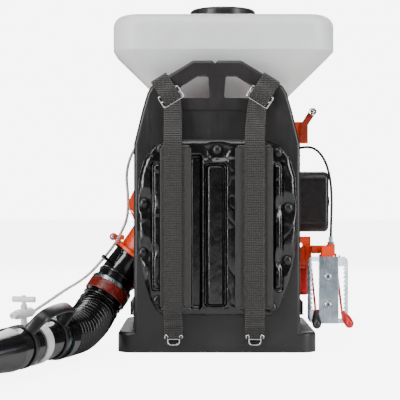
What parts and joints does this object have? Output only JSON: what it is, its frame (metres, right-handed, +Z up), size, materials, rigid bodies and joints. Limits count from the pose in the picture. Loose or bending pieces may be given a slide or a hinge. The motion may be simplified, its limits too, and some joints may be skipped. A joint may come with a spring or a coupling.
{
  "type": "backpack mist blower",
  "caption": "Petrol knapsack mist blower with padded back frame, white chemical tank, orange fan casing, levers, and a blowing pipe lying at its left.",
  "frame": {"origin": "underside of the moulded base where its two long ribs cross, on the pack frame's centre plane", "axes": "+Z up, +Y from the wearer towards the engine, +X towards the lever bracket, which is the wearer's right seen from the pad side"},
  "size_m": [0.7541, 0.8725, 0.726],
  "materials": {
    "black_moulding": "satin moulded polyethylene",
    "orange_moulding": "satin moulded nylon",
    "black_plastic": "glossy moulded plastic",
    "hose_plastic": "glossy corrugated plastic",
    "pad_vinyl": "glossy coated fabric",
    "webbing": "woven webbing",
    "strap_pad": "woven cover over foam",
    "black_steel": "black powder coat",
    "zinc_steel": "bright zinc plate",
    "bright_steel": "polished",
    "dark_steel": "machined",
    "cast_alloy": "as cast",
    "rubber": "matt",
    "red_plastic": "glossy moulded plastic",
    "rocker_paint": "satin red-brown paint",
    "milky_plastic": "translucent polyethylene",
    "clear_tube": "clear soft tube",
    "fuel_plastic": "translucent red polyethylene",
    "filter_foam": "open foam",
    "rope": "braided cord"
  },
  "bodies": {
    "machine": {"pack_frame": "black_moulding", "back_pad": "pad_vinyl", "pad_rivets": "black_plastic", "shoulder_pads": "strap_pad", "strap_webbing": "webbing", "strap_hardware": "bright_steel", "rubber_dampers": "rubber", "damper_bolts": "zinc_steel", "engine_cradle": "black_steel", "fan_case_front": "orange_moulding", "fan_case_rear": "orange_moulding", "case_screws": "zinc_steel", "crankcase": "cast_alloy", "crank_bearings": "dark_steel", "cylinder": "cast_alloy", "piston": "cast_alloy", "spark_plug": "zinc_steel", "cylinder_shroud": "black_moulding", "muffler": "black_steel", "carburettor": "cast_alloy", "air_cleaner_plate": "black_plastic", "air_cleaner_cover": "black_plastic", "filter_element": "filter_foam", "starter_case": "black_plastic", "fuel_tank": "fuel_plastic", "chemical_tank": "milky_plastic", "tank_strainer": "black_plastic", "gate_housing": "orange_moulding", "lever_bracket": "zinc_steel", "lever_arm": "orange_moulding", "lever_pivot_pin": "zinc_steel", "bracket_screws": "zinc_steel", "cable_ferrule": "zinc_steel", "throttle_cable": "rubber", "liquid_tube_upper": "clear_tube"},
    "crank_train": {"crankshaft": "dark_steel", "fan_wheel": "black_moulding", "flywheel": "cast_alloy"},
    "recoil_pulley": {"starter_pulley": "black_plastic"},
    "pull_handle": {"starter_handle": "black_plastic", "starter_rope": "rope"},
    "throttle_arm": {"throttle_lever": "rocker_paint", "throttle_lever_knob": "red_plastic"},
    "gate_arm": {"gate_lever": "rocker_paint", "gate_lever_knob": "black_plastic"},
    "rocker": {"gate_rocker": "rocker_paint"},
    "carb_slide": {"throttle_slide": "dark_steel"},
    "choke": {"choke_lever": "black_plastic"},
    "fuel_filler_cap": {"fuel_cap": "black_plastic"},
    "tank_filler_lid": {"tank_lid": "black_moulding"},
    "elbow_unit": {"elbow": "black_plastic", "hose_clamp_upper": "zinc_steel", "hose": "hose_plastic", "liquid_tube_lower": "clear_tube"},
    "blow_pipe": {"hand_tube": "black_plastic", "hose_clamp_lower": "zinc_steel", "blow_nozzle": "black_plastic", "hand_grip": "black_moulding", "valve_body": "milky_plastic"},
    "tap": {"valve_tap": "milky_plastic"}
  },
  "joints": [
    {"name": "crank_spin", "type": "hinge", "parent": "machine", "child": "crank_train", "pos_m": [0, 0, 0.245], "axis": [0, 1, 0], "continuous": true},
    {"name": "pulley_spin", "type": "hinge", "parent": "machine", "child": "recoil_pulley", "pos_m": [0, 0, 0.245], "axis": [0, 1, 0], "continuous": true},
    {"name": "starter_pull", "type": "slide", "parent": "machine", "child": "pull_handle", "axis": [1, 0, 0], "range_m": [0, 0.6], "stiffness_N_per_m": 15, "springref_m": -0.4},
    {"name": "throttle_swing", "type": "hinge", "parent": "machine", "child": "throttle_arm", "pos_m": [0.257, -0.02, 0.186], "axis": [-1, 0, 0], "range_deg": [0, 30]},
    {"name": "gate_swing", "type": "hinge", "parent": "machine", "child": "gate_arm", "pos_m": [0.203, -0.02, 0.186], "axis": [-1, 0, 0], "range_deg": [0, 35]},
    {"name": "rocker_swing", "type": "hinge", "parent": "machine", "child": "rocker", "pos_m": [0.186, -0.046, 0.446], "axis": [0, -1, 0], "range_deg": [0, 22]},
    {"name": "throttle_slide_lift", "type": "slide", "parent": "machine", "child": "carb_slide", "axis": [0, 0, 1], "range_m": [0, 0.0137]},
    {"name": "choke_turn", "type": "hinge", "parent": "machine", "child": "choke", "pos_m": [0.102, 0.061, 0.29], "axis": [1, 0, 0], "range_deg": [0, 50]},
    {"name": "fuel_cap_turn", "type": "hinge", "parent": "machine", "child": "fuel_filler_cap", "pos_m": [0.14, 0.104, 0.184], "axis": [0, 0, 1], "continuous": true},
    {"name": "tank_lid_turn", "type": "hinge", "parent": "machine", "child": "tank_filler_lid", "pos_m": [0.015, 0.018, 0.718], "axis": [0, 0, 1], "continuous": true},
    {"name": "elbow_swivel", "type": "hinge", "parent": "machine", "child": "elbow_unit", "pos_m": [-0.176, -0.051, 0.194], "axis": [-0.6198, 0, -0.7848], "range_deg": [0, 40], "deforming": ["liquid_tube_upper"]},
    {"name": "hose_bend", "type": "hinge", "parent": "elbow_unit", "child": "blow_pipe", "pos_m": [-0.26052, -0.1172, 0.07159], "axis": [-0.9552, 0.2961, 0], "range_deg": [0, 35], "deforming": ["hose", "liquid_tube_lower"]},
    {"name": "tap_turn", "type": "hinge", "parent": "blow_pipe", "child": "tap", "pos_m": [-0.3609, -0.39248, 0.104], "axis": [0, 0, 1], "range_deg": [0, 90]}
  ],
  "couplings": [
    {"joint": "pulley_spin", "follows": "starter_pull", "rad_per_m": 25},
    {"joint": "throttle_slide_lift", "follows": "throttle_swing", "m_per_rad": 0.02578},
    {"joint": "rocker_swing", "follows": "gate_swing", "ratio": 0.62}
  ]
}
